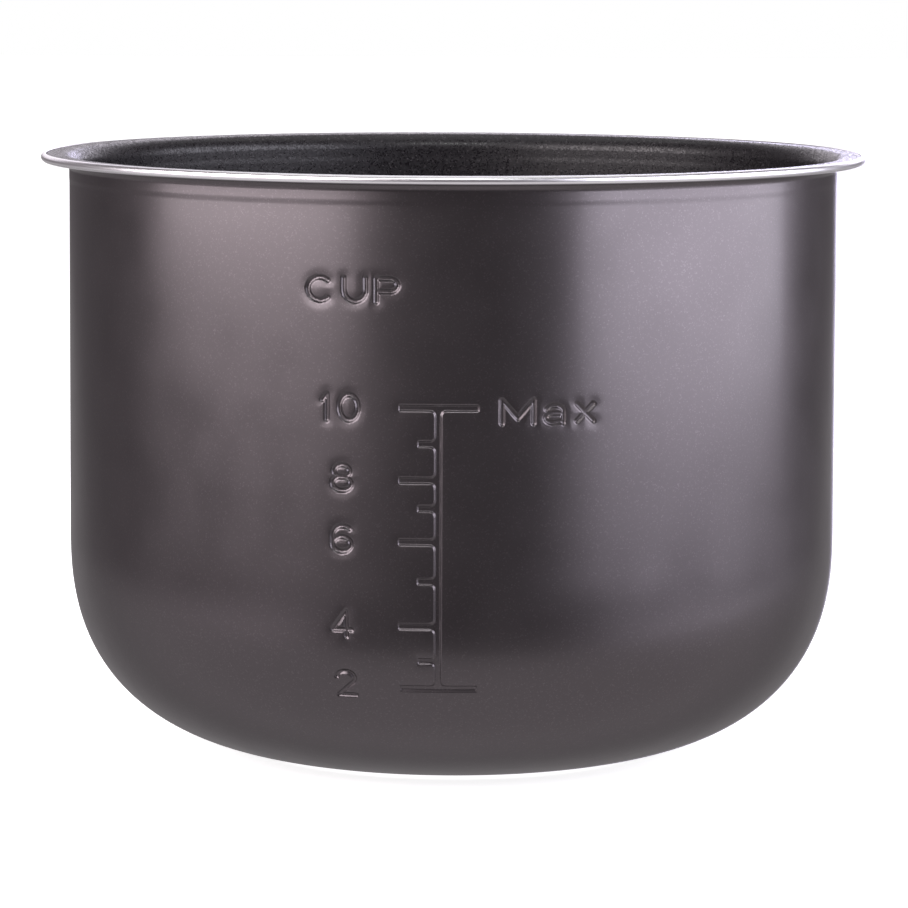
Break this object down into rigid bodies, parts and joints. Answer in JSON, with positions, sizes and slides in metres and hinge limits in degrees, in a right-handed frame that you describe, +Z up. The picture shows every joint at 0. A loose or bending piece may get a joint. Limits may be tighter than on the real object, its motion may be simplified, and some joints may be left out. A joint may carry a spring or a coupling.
{
  "type": "rice cooker inner pot",
  "caption": "Round deep-drawn inner cooking pot with an outward rim flange, large-radius corner, pressed cup scale, dark non-stick inside and metallic coat outside.",
  "frame": {"origin": "centre of the pot's flat base, on the surface it stands on", "axes": "+Z up along the pot's axis; -Y through the front, where the measuring scale is; +X to the right seen from the front"},
  "size_m": [0.2374, 0.2374, 0.1728],
  "materials": {
    "bare_aluminium": "polished",
    "metallic_paint": "satin",
    "dark_nonstick": "satin"
  },
  "bodies": {
    "root": {"drawn_aluminium_shell": "bare_aluminium", "exterior_coating": "metallic_paint", "interior_nonstick_lining": "dark_nonstick"}
  },
  "joints": []
}
